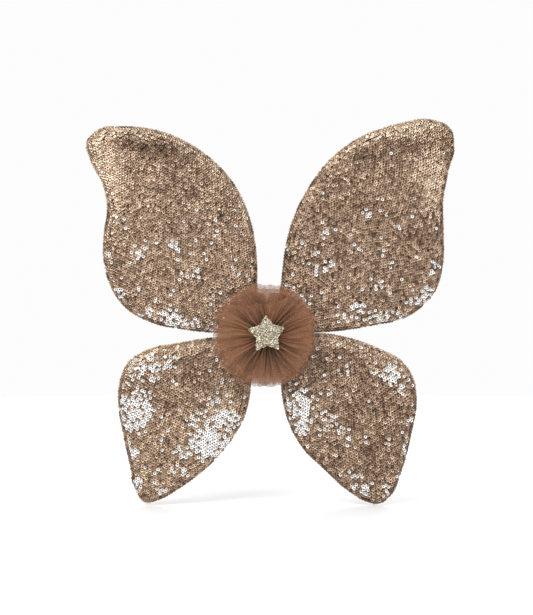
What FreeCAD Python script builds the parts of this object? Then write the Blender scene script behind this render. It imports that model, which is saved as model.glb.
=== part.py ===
import FreeCAD, Part
import math
import os

# Sequin fairy wings: two pairs of padded lobes on wire frames, folding at a
# sewn spine, with a tulle rosette and a glitter star on the front, and a felt
# patch with two elastic arm straps on the back.
# Frame: +Z up, the decorated front faces -Y, the wearer's back is on the +Y
# side. The origin is the centre of the back patch's rear face. Millimetres.

# ---------------------------------------------------------------- dimensions

# Lobes, measured through the thickness (y) and in from the outline (inset).
LOBE_REAR_Y = -2.6
LOBE_THICKNESS = 10.0
LOBE_FRONT_Y = LOBE_REAR_Y - LOBE_THICKNESS
COVER_WALL = 1.0
RIM_RADIUS = 5.5
LINING_THICKNESS = 0.8
WADDING_INSET = 4.5
WADDING_GAP = 0.2
WADDING_ROUND = 1.5

# Wire frames: each straight vertical run is the hinge of its side.
WIRE_RADIUS = 1.0
WIRE_INSET = 3.2
WIRE_HOLE_RADIUS = 1.2
HINGE_X = 13.0
HINGE_Y = -4.2
HINGE_TOP = 22.0
HINGE_BOTTOM = -36.0
CRIMP_RADIUS = 1.7
CRIMP_LENGTH = 8.0
CRIMP_CENTRE_Z = -30.0
CRIMP_BORE_RADIUS = 1.02

# Centre spine: a block with a rib and a sewn channel each side.
CHANNEL_BORE_RADIUS = 1.06
CHANNEL_OUTER_RADIUS = 2.2
CHANNEL_HALF_HEIGHT = 20.0
SPINE_HALF_WIDTH = 8.5
SPINE_HALF_HEIGHT = 21.0
RIB_THICKNESS = 1.6

# Back patch and arm straps.
PATCH_WIDTH = 22.0
PATCH_HEIGHT = 52.0
PATCH_THICKNESS = 1.6
PATCH_CORNER = 3.0
STRAP_WIDTH = 9.5
STRAP_THICKNESS = 1.2
STRAP_X = 5.35
STRAP_Y = -0.8
STRAP_LEAN = 8.0
BAR_TACK_LENGTH = 8.0
BAR_TACK_HEIGHT = 1.8
BAR_TACK_DEPTH = 0.5
BAR_TACK_Z = 22.5

# Rosette: a base disc, three dished layers of tulle and a knot.
BASE_RADIUS = 14.0
BASE_THICKNESS = 1.5
BASE_REAR_Y = -13.8
KNOT_RADIUS = 5.9
KNOT_LENGTH = 7.5
TULLE_EYE_RADIUS = 6.0
TULLE_RADII = {"rear": 55.0, "middle": 53.0, "front": 50.0}
TULLE_THICKNESS = 2.0
TULLE_GAP = 0.1
TULLE_SLOPE = 0.06

# Star: felt back, foam core and glitter face.
STAR_TIP_RADIUS = 21.2
STAR_NOTCH_RADIUS = 12.4
STAR_CENTRE = (-0.4, 1.9)
STAR_TURN = 2.6
STAR_TIP_ROUND = 1.2
STAR_FELT = 0.8
STAR_FOAM = 3.0
STAR_GLITTER = 0.6

# Lobe outlines as (distance from the centre plane, height), listed up the
# inner edge, round the outside and back along the edge beside the other lobe.
OUTLINES = {
    "upper_left": [
        (17, 14), (17, 26), (12.5, 38), (11, 62), (12.5, 95), (18, 124), (37, 166), (70, 199),
        (110, 220), (155, 227), (183, 224), (196, 210), (192, 191), (178, 163), (173.5, 138),
        (177, 112), (177.5, 82), (170, 54), (153, 30), (124, 14), (90, 7), (58, 3.5), (30, 3.5),
        (20.5, 6),
    ],
    "upper_right": [
        (17, 15), (17, 27), (14, 39), (16, 62), (20, 95), (28, 126), (44, 159), (66, 189),
        (100, 215), (140, 229.5), (180, 234), (198, 226), (203, 207), (196.5, 178), (191, 146),
        (191.5, 110), (191, 80), (181, 46), (154, 22), (110, 10.5), (70, 4.8), (48, 4), (30, 5),
        (20.5, 8),
    ],
    "lower_left": [
        (17, -14), (17, -34), (18.5, -60), (24, -86), (38, -112), (60, -138), (93, -164),
        (118, -178), (132, -181), (143, -168), (149, -140), (156, -108), (161, -78), (160, -50),
        (151, -29), (131, -15.8), (95, -7.8), (58, -2.3), (30, -2.8), (20.5, -6),
    ],
    "lower_right": [
        (17, -12), (16, -34), (16, -60), (22, -90), (38, -121), (62, -145), (88, -168),
        (106, -179), (122, -182), (134, -173), (146, -146), (157, -104), (162, -74), (159, -48),
        (147.5, -29), (122, -14.6), (92, -3.4), (64, 2), (46, 2.3), (30, 1), (20.5, -2.5),
    ],
}
SIDES = {"left": -1, "right": 1}

# Outline points at the inner corners that the wire passes by on its way to
# the hinge: the first few of an upper lobe and of a lower lobe.
LOBE_ENTRY_POINTS = 3
LOBE_EXIT_POINTS = 2

# Arm strap loop in its own upright plane, from the patch's top edge round to
# its bottom edge: (distance back, height) and the direction of travel there.
STRAP_ROUTE = [
    ((STRAP_Y, 26), (0, 1)),
    ((22, 46), (1, 0)),
    ((62, 39), (1, -0.3)),
    ((94, -2), (-0.05, -1)),
    ((64, -41), (-1, -0.25)),
    ((24, -47), (-1, 0.05)),
    ((STRAP_Y, -26), (0, 1)),
]


# ------------------------------------------------------------ plane geometry

def direction(dx, dz):
    length = math.hypot(dx, dz)
    return (dx / length, dz / length)


def circle_tangent(before, here, after):
    """Direction at the middle point of the circle through three points."""
    ax, az = here[0] - before[0], here[1] - before[1]
    bx, bz = after[0] - here[0], after[1] - here[1]
    a2 = ax * ax + az * az
    b2 = bx * bx + bz * bz
    return direction(ax / a2 + bx / b2, az / a2 + bz / b2)


def closed_route(points):
    """Points of a closed outline, each with its direction of travel."""
    count = len(points)
    return [
        (points[i], circle_tangent(points[i - 1], points[i], points[(i + 1) % count]))
        for i in range(count)
    ]


def arc_middle(start, tangent, end):
    """Middle of the arc that leaves start along tangent and reaches end."""
    cx, cz = end[0] - start[0], end[1] - start[1]
    turn = math.atan2(tangent[0] * cz - tangent[1] * cx, tangent[0] * cx + tangent[1] * cz)
    rise = 0.5 * math.tan(turn / 2)
    return (start[0] + cx / 2 + cz * rise, start[1] + cz / 2 - cx * rise), turn


def biarc(start, tangent, end, end_tangent):
    """Two arcs, tangent to each other, as (start, middle, end, turn)."""
    vx, vz = end[0] - start[0], end[1] - start[1]
    tx, tz = tangent[0] + end_tangent[0], tangent[1] + end_tangent[1]
    v_dot_t = vx * tx + vz * tz
    v2 = vx * vx + vz * vz
    spread = 2 * (1 - tangent[0] * end_tangent[0] - tangent[1] * end_tangent[1])
    if spread < 1e-9:
        reach = v2 / (2 * v_dot_t)
    else:
        reach = (math.sqrt(v_dot_t * v_dot_t + spread * v2) - v_dot_t) / spread
    joint = (
        (start[0] + end[0] + reach * (tangent[0] - end_tangent[0])) / 2,
        (start[1] + end[1] + reach * (tangent[1] - end_tangent[1])) / 2,
    )
    first_middle, first_turn = arc_middle(start, tangent, joint)
    back_tangent = (-end_tangent[0], -end_tangent[1])
    last_middle, last_turn = arc_middle(end, back_tangent, joint)
    return [(start, first_middle, joint, first_turn), (joint, last_middle, end, last_turn)]


def smooth_edges(route, place, closed):
    """Edges of tangent arcs through a route; place turns a pair into a point."""
    edges = []
    stops = route + route[:1] if closed else route
    for (start, tangent), (end, end_tangent) in zip(stops, stops[1:]):
        for first, middle, last, turn in biarc(start, tangent, end, end_tangent):
            if abs(turn) < 1e-4:
                edges.append(Part.LineSegment(place(first), place(last)).toShape())
            else:
                edges.append(Part.Arc(place(first), place(middle), place(last)).toShape())
    return edges


def shifted(route, distance):
    """The same route moved to the left of its direction of travel."""
    return [((p[0] - t[1] * distance, p[1] + t[0] * distance), t) for p, t in route]


def upright(side, y):
    """Placer for (distance out, height) pairs on one side at depth y."""
    return lambda pair: FreeCAD.Vector(side * pair[0], y, pair[1])


# --------------------------------------------------------------------- lobes

def inset_route(name, inset):
    """Lobe outline moved inwards; upper lobes are listed clockwise."""
    inward = -inset if name.startswith("upper") else inset
    return shifted(closed_route(OUTLINES[name]), inward)


def outline_face(name, side, y, inset=0.0):
    edges = smooth_edges(inset_route(name, inset), upright(side, y), True)
    return Part.Face(Part.Wire(edges))


def rounded_slab(face, thickness, radius):
    """Slab from a face towards -Y, with its front rim rounded."""
    slab = face.extrude(FreeCAD.Vector(0, -thickness, 0))
    front_y = slab.BoundBox.YMin
    rim = [edge for edge in slab.Edges if edge.BoundBox.YMax < front_y + 0.01]
    return slab.makeFillet(radius, rim)


def sequin_cover(name, side, wire_holes):
    outer = rounded_slab(outline_face(name, side, LOBE_REAR_Y), LOBE_THICKNESS, RIM_RADIUS)
    inner_face = outline_face(name, side, LOBE_REAR_Y, COVER_WALL)
    cavity = rounded_slab(inner_face, LOBE_THICKNESS - COVER_WALL, RIM_RADIUS - COVER_WALL)
    return outer.cut(cavity).cut(wire_holes)


def back_lining(name, side):
    face = outline_face(name, side, LOBE_REAR_Y + LINING_THICKNESS)
    return face.extrude(FreeCAD.Vector(0, -LINING_THICKNESS, 0))


def wadding(name, side):
    face = outline_face(name, side, LOBE_REAR_Y - WADDING_GAP, WADDING_INSET)
    thickness = LOBE_THICKNESS - COVER_WALL - 2 * WADDING_GAP
    return rounded_slab(face, thickness, WADDING_ROUND)


# --------------------------------------------------------------- wire frames

def backwards(route):
    return [(point, (-t[0], -t[1])) for point, t in reversed(route)]


def wire_route(side_name):
    """Closed route of one wire: hinge run, upper lobe, link, lower lobe."""
    round_upper = inset_route("upper_" + side_name, WIRE_INSET)[LOBE_ENTRY_POINTS:-1]
    round_lower = backwards(inset_route("lower_" + side_name, WIRE_INSET)[LOBE_EXIT_POINTS:-1])
    (upper_u, upper_z), _ = round_upper[-1]
    (_, lower_z), _ = round_lower[0]
    link = (upper_u - (upper_z - lower_z) / 2, (upper_z + lower_z) / 2)
    hinge = [((HINGE_X, HINGE_BOTTOM), (0, 1)), ((HINGE_X, HINGE_TOP), (0, 1))]
    return hinge + round_upper + [(link, (0, -1))] + round_lower


def wire_tube(side_name, side, radius):
    path = Part.Wire(smooth_edges(wire_route(side_name), upright(side, HINGE_Y), True))
    start = FreeCAD.Vector(side * HINGE_X, HINGE_Y, HINGE_BOTTOM)
    ring = Part.Wire(Part.makeCircle(radius, start, FreeCAD.Vector(0, 0, 1)))
    return path.makePipeShell([ring], True, False)


def standing_cylinder(radius, x, y, low, high):
    return Part.makeCylinder(radius, high - low, FreeCAD.Vector(x, y, low))


def wire_crimp(side):
    low = CRIMP_CENTRE_Z - CRIMP_LENGTH / 2
    high = CRIMP_CENTRE_Z + CRIMP_LENGTH / 2
    sleeve = standing_cylinder(CRIMP_RADIUS, side * HINGE_X, HINGE_Y, low, high)
    bore = standing_cylinder(CRIMP_BORE_RADIUS, side * HINGE_X, HINGE_Y, low, high)
    return sleeve.cut(bore)


# -------------------------------------------------------- spine, patch, straps

def centred_box(width, height, rear_y, front_y, x=0.0, z=0.0):
    corner = FreeCAD.Vector(x - width / 2, front_y, z - height / 2)
    return Part.makeBox(width, rear_y - front_y, height, corner)


def centre_spine():
    spine = centred_box(2 * SPINE_HALF_WIDTH, 2 * SPINE_HALF_HEIGHT, -PATCH_THICKNESS, BASE_REAR_Y)
    rib_rear = HINGE_Y + RIB_THICKNESS / 2
    rib = centred_box(2 * HINGE_X, 2 * CHANNEL_HALF_HEIGHT, rib_rear, rib_rear - RIB_THICKNESS)
    spine = spine.fuse(rib)
    ends = (-CHANNEL_HALF_HEIGHT, CHANNEL_HALF_HEIGHT)
    for side in SIDES.values():
        spine = spine.fuse(standing_cylinder(CHANNEL_OUTER_RADIUS, side * HINGE_X, HINGE_Y, *ends))
    for side in SIDES.values():
        spine = spine.cut(standing_cylinder(CHANNEL_BORE_RADIUS, side * HINGE_X, HINGE_Y, *ends))
    return spine.removeSplitter()


def bar_tacks():
    return [
        centred_box(BAR_TACK_LENGTH, BAR_TACK_HEIGHT, 0, -BAR_TACK_DEPTH, side * STRAP_X, end * BAR_TACK_Z)
        for side in SIDES.values()
        for end in (-1, 1)
    ]


def back_patch():
    patch = centred_box(PATCH_WIDTH, PATCH_HEIGHT, 0, -PATCH_THICKNESS)
    corners = [edge for edge in patch.Edges if edge.BoundBox.YLength > PATCH_THICKNESS / 2]
    patch = patch.makeFillet(PATCH_CORNER, corners)
    for tack in bar_tacks():
        patch = patch.cut(tack)
    return patch


def arm_strap(side):
    """Elastic loop, sewn at the patch's top and bottom edges, leaning outward."""
    inner_x = side * STRAP_X - STRAP_WIDTH / 2

    def place(pair):
        return FreeCAD.Vector(inner_x, pair[0], pair[1])

    route = [(point, direction(*heading)) for point, heading in STRAP_ROUTE]
    outer = shifted(route, STRAP_THICKNESS / 2)
    inner = shifted(route, -STRAP_THICKNESS / 2)
    edges = smooth_edges(outer, place, False) + smooth_edges(inner, place, False)
    for end in (0, -1):
        edges.append(Part.LineSegment(place(outer[end][0]), place(inner[end][0])).toShape())
    face = Part.Face(Part.Wire(Part.__sortEdges__(edges)))
    strap = face.extrude(FreeCAD.Vector(STRAP_WIDTH, 0, 0))
    pivot = FreeCAD.Vector(side * STRAP_X, STRAP_Y, 0)
    strap.rotate(pivot, FreeCAD.Vector(0, 0, 1), -side * STRAP_LEAN)
    return strap


# ------------------------------------------------------------ rosette and star

def facing_disc(radius, rear_y, thickness):
    return Part.makeCylinder(radius, thickness, FreeCAD.Vector(0, rear_y, 0), FreeCAD.Vector(0, -1, 0))


def tulle_layer(radius, rear_y):
    """Shallow dish with an eye at its middle, opening to the front."""
    drop = TULLE_SLOPE * (radius - TULLE_EYE_RADIUS)
    corners = [
        (TULLE_EYE_RADIUS, rear_y),
        (radius, rear_y - drop),
        (radius, rear_y - drop - TULLE_THICKNESS),
        (TULLE_EYE_RADIUS, rear_y - TULLE_THICKNESS),
        (TULLE_EYE_RADIUS, rear_y),
    ]
    profile = Part.Face(Part.makePolygon([FreeCAD.Vector(r, y, 0) for r, y in corners]))
    return profile.revolve(FreeCAD.Vector(0, 0, 0), FreeCAD.Vector(0, 1, 0), 360)


def star_slab(rear_y, thickness):
    points = []
    for i in range(10):
        radius = STAR_NOTCH_RADIUS if i % 2 else STAR_TIP_RADIUS
        angle = math.radians(90 + STAR_TURN + 36 * i)
        x = STAR_CENTRE[0] + radius * math.cos(angle)
        z = STAR_CENTRE[1] + radius * math.sin(angle)
        points.append(FreeCAD.Vector(x, rear_y, z))
    slab = Part.Face(Part.makePolygon(points + points[:1])).extrude(FreeCAD.Vector(0, -thickness, 0))
    middle_radius = (STAR_NOTCH_RADIUS + STAR_TIP_RADIUS) / 2
    tips = []
    for edge in slab.Edges:
        centre = edge.CenterOfMass
        reach = math.hypot(centre.x - STAR_CENTRE[0], centre.z - STAR_CENTRE[1])
        if edge.BoundBox.YLength > thickness / 2 and reach > middle_radius:
            tips.append(edge)
    return slab.makeFillet(STAR_TIP_ROUND, tips)


# -------------------------------------------------------------------- output

def save(name, shape):
    shape.exportStep("parts/" + name + ".step")
    print(name, "valid", shape.isValid(), "solids", len(shape.Solids), "mm3", round(shape.Volume))


def save_wings():
    for side_name, side in SIDES.items():
        holes = wire_tube(side_name, side, WIRE_HOLE_RADIUS)
        for level in ("upper", "lower"):
            name = level + "_" + side_name
            save(name + "_sequin_cover", sequin_cover(name, side, holes))
            save(name + "_back_lining", back_lining(name, side))
            save(name + "_wadding", wadding(name, side))
        save(side_name + "_wire_frame", wire_tube(side_name, side, WIRE_RADIUS))
        save(side_name + "_wire_crimp", wire_crimp(side))


def save_centre():
    save("centre_spine", centre_spine())
    save("back_patch", back_patch())
    save("strap_bar_tacks", Part.makeCompound(bar_tacks()))
    save("rosette_base", facing_disc(BASE_RADIUS, BASE_REAR_Y, BASE_THICKNESS))
    knot_rear = BASE_REAR_Y - BASE_THICKNESS
    layer_rear = knot_rear - TULLE_GAP
    for layer, radius in TULLE_RADII.items():
        save("rosette_" + layer + "_tulle", tulle_layer(radius, layer_rear))
        layer_rear -= TULLE_THICKNESS + TULLE_GAP
    save("rosette_knot", facing_disc(KNOT_RADIUS, knot_rear, KNOT_LENGTH))
    felt_rear = knot_rear - KNOT_LENGTH
    foam_rear = felt_rear - STAR_FELT
    save("star_felt_back", star_slab(felt_rear, STAR_FELT))
    save("star_foam_core", star_slab(foam_rear, STAR_FOAM))
    save("star_glitter_face", star_slab(foam_rear - STAR_FOAM, STAR_GLITTER))


def main():
    os.makedirs("parts", exist_ok=True)
    save_wings()
    save_centre()
    for side_name, side in SIDES.items():
        save(side_name + "_arm_strap", arm_strap(side))


main()
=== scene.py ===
import math

import bpy
import numpy as np
from mathutils import Matrix, Vector, noise
from mathutils.bvhtree import BVHTree
from mathutils.geometry import delaunay_2d_cdt


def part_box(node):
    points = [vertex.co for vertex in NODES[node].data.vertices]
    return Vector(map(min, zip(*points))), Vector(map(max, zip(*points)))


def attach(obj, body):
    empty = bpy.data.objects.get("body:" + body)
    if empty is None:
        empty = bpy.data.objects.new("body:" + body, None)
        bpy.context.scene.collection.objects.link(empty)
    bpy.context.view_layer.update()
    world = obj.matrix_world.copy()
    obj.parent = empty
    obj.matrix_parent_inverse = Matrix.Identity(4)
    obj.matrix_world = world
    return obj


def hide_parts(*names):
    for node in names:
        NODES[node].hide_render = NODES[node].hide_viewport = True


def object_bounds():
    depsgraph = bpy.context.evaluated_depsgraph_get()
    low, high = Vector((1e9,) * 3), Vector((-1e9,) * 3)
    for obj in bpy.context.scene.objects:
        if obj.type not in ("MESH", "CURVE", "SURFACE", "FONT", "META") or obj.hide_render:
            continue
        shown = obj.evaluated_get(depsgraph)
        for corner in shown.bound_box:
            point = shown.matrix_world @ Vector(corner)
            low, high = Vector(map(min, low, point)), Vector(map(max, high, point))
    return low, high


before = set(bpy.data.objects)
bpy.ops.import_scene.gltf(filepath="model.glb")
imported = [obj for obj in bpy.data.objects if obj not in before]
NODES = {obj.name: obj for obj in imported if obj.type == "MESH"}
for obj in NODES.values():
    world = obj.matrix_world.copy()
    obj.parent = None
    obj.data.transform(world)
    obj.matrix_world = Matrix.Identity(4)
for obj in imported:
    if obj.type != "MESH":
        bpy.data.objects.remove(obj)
CAD_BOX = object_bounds()
MM = 0.001

# ------------------------------------------------------------ camera and light

VIEW_HEIGHT = 0.667
LENS = 85.0
SENSOR = 36.0
AIM_HEIGHT = 0.0306
FLOOR_RADIUS = 2.0
FLOOR_GAP = 0.002
LOBES = ("upper_left", "upper_right", "lower_left", "lower_right")


def add_camera():
    data = bpy.data.cameras.new("camera")
    data.lens = LENS
    data.sensor_width = SENSOR
    camera = bpy.data.objects.new("camera", data)
    low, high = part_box("upper_left_sequin_cover")
    distance = VIEW_HEIGHT * LENS / SENSOR
    camera.location = (-0.0007, (low.y + high.y) / 2 - distance, AIM_HEIGHT)
    camera.rotation_euler = (math.radians(90), 0, 0)
    bpy.context.scene.collection.objects.link(camera)
    bpy.context.scene.camera = camera


def add_area_light(name, place, size, watts):
    """A round light that faces the origin."""
    data = bpy.data.lights.new(name, "AREA")
    data.shape = "DISK"
    data.size = size
    data.energy = watts
    light = bpy.data.objects.new(name, data)
    light.location = place
    light.rotation_euler = (-Vector(place)).to_track_quat("-Z", "Y").to_euler()
    bpy.context.scene.collection.objects.link(light)


def add_lights():
    add_area_light("key_light", (-0.8, -1.2, 1.35), 1.3, 26)
    add_area_light("fill_light", (1.4, -1.2, 0.5), 1.0, 9)
    add_area_light("back_light", (0.5, 1.6, 1.2), 1.2, 14)


def add_world():
    """A white studio that is darker on the photographer's side, for the glossy pieces."""
    world = bpy.data.worlds.new("studio")
    bpy.context.scene.world = world
    world.use_nodes = True
    tree = world.node_tree
    background = tree.nodes["Background"]
    coordinates = tree.nodes.new("ShaderNodeTexCoord")
    split = tree.nodes.new("ShaderNodeSeparateXYZ")
    tree.links.new(coordinates.outputs["Generated"], split.inputs[0])
    behind = calculate(tree, "MULTIPLY_ADD", split.outputs["Y"], 0.5, 0.5)
    studio = colour_ramp(tree, behind, [(0.10, (0.30, 0.29, 0.28)), (0.38, (0.95, 0.95, 0.96))])
    seen = tree.nodes.new("ShaderNodeLightPath")
    mix = tree.nodes.new("ShaderNodeMix")
    mix.data_type = "RGBA"
    mix.inputs["B"].default_value = (1.0, 1.0, 1.0, 1)
    tree.links.new(seen.outputs["Is Camera Ray"], mix.inputs["Factor"])
    tree.links.new(studio, mix.inputs["A"])
    tree.links.new(mix.outputs["Result"], background.inputs["Color"])
    background.inputs["Strength"].default_value = 0.98


def add_floor():
    """Round pale floor."""
    low, _ = CAD_BOX
    verts = [(FLOOR_RADIUS * c, FLOOR_RADIUS * s, low[2] - FLOOR_GAP) for c, s in circle(64)]
    floor = new_piece("studio_floor", verts, [range(len(verts))], floor_material())


# ------------------------------------------------------------------ materials

def new_material(name, colour, roughness, metallic=0.0, **sockets):
    """Principled material; returns it with its tree and shader."""
    material = bpy.data.materials.new(name)
    material.use_nodes = True
    tree = material.node_tree
    shader = tree.nodes["Principled BSDF"]
    shader.inputs["Base Color"].default_value = (*colour, 1)
    shader.inputs["Roughness"].default_value = roughness
    shader.inputs["Metallic"].default_value = metallic
    for socket, value in sockets.items():
        shader.inputs[socket.replace("_", " ")].default_value = value
    return material, tree, shader


def object_coordinates(tree, scale=(1, 1, 1)):
    coordinates = tree.nodes.new("ShaderNodeTexCoord")
    mapping = tree.nodes.new("ShaderNodeMapping")
    mapping.inputs["Scale"].default_value = scale
    tree.links.new(coordinates.outputs["Object"], mapping.inputs["Vector"])
    return mapping.outputs["Vector"]


def noise_value(tree, vector, scale, detail=3.0, roughness=0.6):
    texture = tree.nodes.new("ShaderNodeTexNoise")
    texture.inputs["Scale"].default_value = scale
    texture.inputs["Detail"].default_value = detail
    texture.inputs["Roughness"].default_value = roughness
    tree.links.new(vector, texture.inputs["Vector"])
    return texture.outputs["Fac"]


def cell_distance(tree, vector, scale, feature="F1"):
    texture = tree.nodes.new("ShaderNodeTexVoronoi")
    texture.feature = feature
    texture.inputs["Scale"].default_value = scale
    tree.links.new(vector, texture.inputs["Vector"])
    return texture.outputs["Distance"]


def wave_value(tree, vector, axis, scale, distortion=0.5):
    texture = tree.nodes.new("ShaderNodeTexWave")
    texture.bands_direction = axis
    texture.inputs["Scale"].default_value = scale
    texture.inputs["Distortion"].default_value = distortion
    tree.links.new(vector, texture.inputs["Vector"])
    return texture.outputs["Fac"]


def colour_ramp(tree, value, stops):
    ramp = tree.nodes.new("ShaderNodeValToRGB")
    elements = ramp.color_ramp.elements
    while len(elements) < len(stops):
        elements.new(0.5)
    for element, (place, colour) in zip(elements, stops):
        element.position = place
        element.color = (*colour, 1)
    tree.links.new(value, ramp.inputs[0])
    return ramp.outputs[0]


def paint(tree, shader, value, stops):
    """Base colour from a value, through a ramp."""
    tree.links.new(colour_ramp(tree, value, stops), shader.inputs["Base Color"])


def tinted(colour, share):
    return tuple(min(1, c * share) for c in colour)


def calculate(tree, operation, *values):
    node = tree.nodes.new("ShaderNodeMath")
    node.operation = operation
    for socket, value in zip(node.inputs, values):
        if isinstance(value, (int, float)):
            socket.default_value = value
        else:
            tree.links.new(value, socket)
    return node.outputs[0]


def spread(tree, value, low, high, start=0.0, end=1.0):
    """A value from start to end, stretched to run from low to high."""
    node = tree.nodes.new("ShaderNodeMapRange")
    for socket, number in (("From Min", start), ("From Max", end), ("To Min", low), ("To Max", high)):
        node.inputs[socket].default_value = number
    tree.links.new(value, node.inputs["Value"])
    return node.outputs["Result"]


def set_roughness(tree, shader, value, low, high):
    tree.links.new(spread(tree, value, low, high), shader.inputs["Roughness"])


def add_bump(tree, shader, value, strength, distance):
    bump = tree.nodes.new("ShaderNodeBump")
    bump.inputs["Strength"].default_value = strength
    bump.inputs["Distance"].default_value = distance
    tree.links.new(value, bump.inputs["Height"])
    tree.links.new(bump.outputs["Normal"], shader.inputs["Normal"])


def attribute_value(tree, name):
    attribute = tree.nodes.new("ShaderNodeAttribute")
    attribute.attribute_name = name
    return attribute.outputs["Fac"]


def floor_material():
    material, tree, shader = new_material("studio_floor", (0.93, 0.93, 0.93), 0.7)
    grain = noise_value(tree, object_coordinates(tree), 6.0)
    paint(tree, shader, grain, [(0.3, (0.92, 0.92, 0.92)), (0.7, (0.94, 0.94, 0.94))])
    return material


def sequin_material():
    """Each sequin's tone, from dark brown through champagne to white; the white tones are painted highlights
    and the darkest rim browns are painted shade.
    """
    material, tree, shader = new_material("champagne_sequin", (0.4, 0.3, 0.2), 0.28, 0.75)
    tone = attribute_value(tree, "tone")
    speck = noise_value(tree, object_coordinates(tree), 900.0, 1.0)
    mottled = calculate(tree, "MULTIPLY_ADD", speck, 0.10, -0.05)
    shifted = calculate(tree, "ADD", tone, mottled)
    stops = [
        (0.00, (0.055, 0.029, 0.018)),
        (0.25, (0.240, 0.150, 0.096)),
        (0.50, (0.530, 0.370, 0.255)),
        (0.72, (0.860, 0.665, 0.490)),
        (0.92, (0.980, 0.955, 0.930)),
    ]
    # Painted cup shading: a per-vertex factor that darkens the hole and upper rim and lightens the lower
    # rim.
    painted_cup_shading = calculate(tree, "MULTIPLY_ADD", attribute_value(tree, "painted_cup_shading"), 0.85, 1.0)
    shaded = tree.nodes.new("ShaderNodeMix")
    shaded.data_type = "RGBA"
    shaded.blend_type = "MULTIPLY"
    shaded.inputs["Factor"].default_value = 1.0
    tree.links.new(colour_ramp(tree, shifted, stops), shaded.inputs["A"])
    tree.links.new(painted_cup_shading, shaded.inputs["B"])
    tree.links.new(shaded.outputs["Result"], shader.inputs["Base Color"])
    set_roughness(tree, shader, speck, 0.22, 0.38)
    return material


def woven_material(name, colour, thread, contrast=0.35, roughness=0.85, sheen=0.3):
    """Plain weave: two sets of threads, with uneven dye and a soft sheen."""
    material, tree, shader = new_material(name, colour, roughness, Sheen_Weight=sheen)
    vector = object_coordinates(tree)
    across = wave_value(tree, vector, "X", thread)
    along = wave_value(tree, vector, "Z", thread)
    weave = calculate(tree, "MULTIPLY", across, along)
    dye = noise_value(tree, vector, 40.0)
    value = calculate(tree, "MULTIPLY_ADD", weave, 0.5, dye)
    paint(tree, shader, value, [(0.25, tinted(colour, 1 - contrast)), (0.95, tinted(colour, 1 + contrast))])
    set_roughness(tree, shader, dye, roughness - 0.1, min(1, roughness + 0.1))
    add_bump(tree, shader, weave, 0.5, 0.0002)
    return material


def felt_material(name, colour):
    """Pressed fibres: matted speckle with long soft clumps."""
    material, tree, shader = new_material(name, colour, 0.95, Sheen_Weight=0.15)
    vector = object_coordinates(tree)
    fibres = noise_value(tree, vector, 1400.0, 6.0, 0.75)
    clumps = noise_value(tree, vector, 140.0, 3.0)
    value = calculate(tree, "ADD", fibres, clumps)
    half = calculate(tree, "MULTIPLY", value, 0.5)
    paint(tree, shader, half, [(0.36, tinted(colour, 0.6)), (0.64, tinted(colour, 1.45))])
    set_roughness(tree, shader, clumps, 0.85, 1.0)
    add_bump(tree, shader, fibres, 0.6, 0.0004)
    return material


def wadding_material():
    material, tree, shader = new_material("white_wadding", (0.88, 0.87, 0.84), 0.95, Sheen_Weight=0.4)
    fibres = noise_value(tree, object_coordinates(tree, (1, 1, 3)), 500.0, 8.0, 0.8)
    stops = [(0.35, (0.74, 0.73, 0.70)), (0.65, (0.95, 0.94, 0.92))]
    paint(tree, shader, fibres, stops)
    add_bump(tree, shader, fibres, 0.8, 0.0008)
    return material


def tulle_material(name, colour):
    """Fine net: see-through cells between threads, denser where it folds; the shade attribute paints shade
    into the folds and pleats.
    """
    material, tree, shader = new_material(name, colour, 0.75, Sheen_Weight=0.05)
    vector = object_coordinates(tree)
    cells = cell_distance(tree, vector, 1100.0, "DISTANCE_TO_EDGE")
    blotch = calculate(tree, "MULTIPLY_ADD", noise_value(tree, vector, 60.0, 4.0), 0.5, -0.25)
    shade = calculate(tree, "ADD", attribute_value(tree, "shade"), blotch)
    grain = calculate(tree, "MULTIPLY_ADD", noise_value(tree, vector, 700.0, 2.0), -0.9, 0.45)
    shade = calculate(tree, "ADD", shade, grain)
    paint(tree, shader, shade, [(0.0, tinted(colour, 1.45)), (0.28, colour), (0.95, tinted(colour, 0.30))])
    thread = spread(tree, cells, 0.85, 0.16, 0.05, 0.27)
    cover = attribute_value(tree, "cover")
    room = calculate(tree, "SUBTRACT", 1.0, thread)
    alpha = calculate(tree, "MULTIPLY_ADD", cover, room, thread)
    tree.links.new(alpha, shader.inputs["Alpha"])
    return material


def thread_material(name, colour):
    material, tree, shader = new_material(name, colour, 0.6, Sheen_Weight=0.3)
    twist = wave_value(tree, object_coordinates(tree), "DIAGONAL", 1500.0, 1.0)
    paint(tree, shader, twist, [(0.2, tinted(colour, 0.6)), (0.8, tinted(colour, 1.4))])
    add_bump(tree, shader, twist, 0.5, 0.0001)
    return material


def glitter_material(name, metallic):
    """Champagne-gold flakes, each with its own tone."""
    material, tree, shader = new_material(name, (0.6, 0.5, 0.3), 0.25, metallic)
    tone = attribute_value(tree, "tone")
    stops = [
        (0.00, (0.070, 0.050, 0.025)),
        (0.35, (0.260, 0.200, 0.105)),
        (0.65, (0.560, 0.470, 0.300)),
        (1.00, (0.980, 0.940, 0.840)),
    ]
    paint(tree, shader, tone, stops)
    sparkle = noise_value(tree, object_coordinates(tree), 2500.0, 2.0)
    set_roughness(tree, shader, sparkle, 0.15, 0.45)
    return material


def foam_material():
    material, tree, shader = new_material("white_foam", (0.85, 0.83, 0.76), 0.9)
    cells = cell_distance(tree, object_coordinates(tree), 1300.0)
    stops = [(0.1, (0.90, 0.88, 0.82)), (0.7, (0.70, 0.67, 0.60))]
    paint(tree, shader, cells, stops)
    add_bump(tree, shader, cells, 0.6, 0.0003)
    return material


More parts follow.
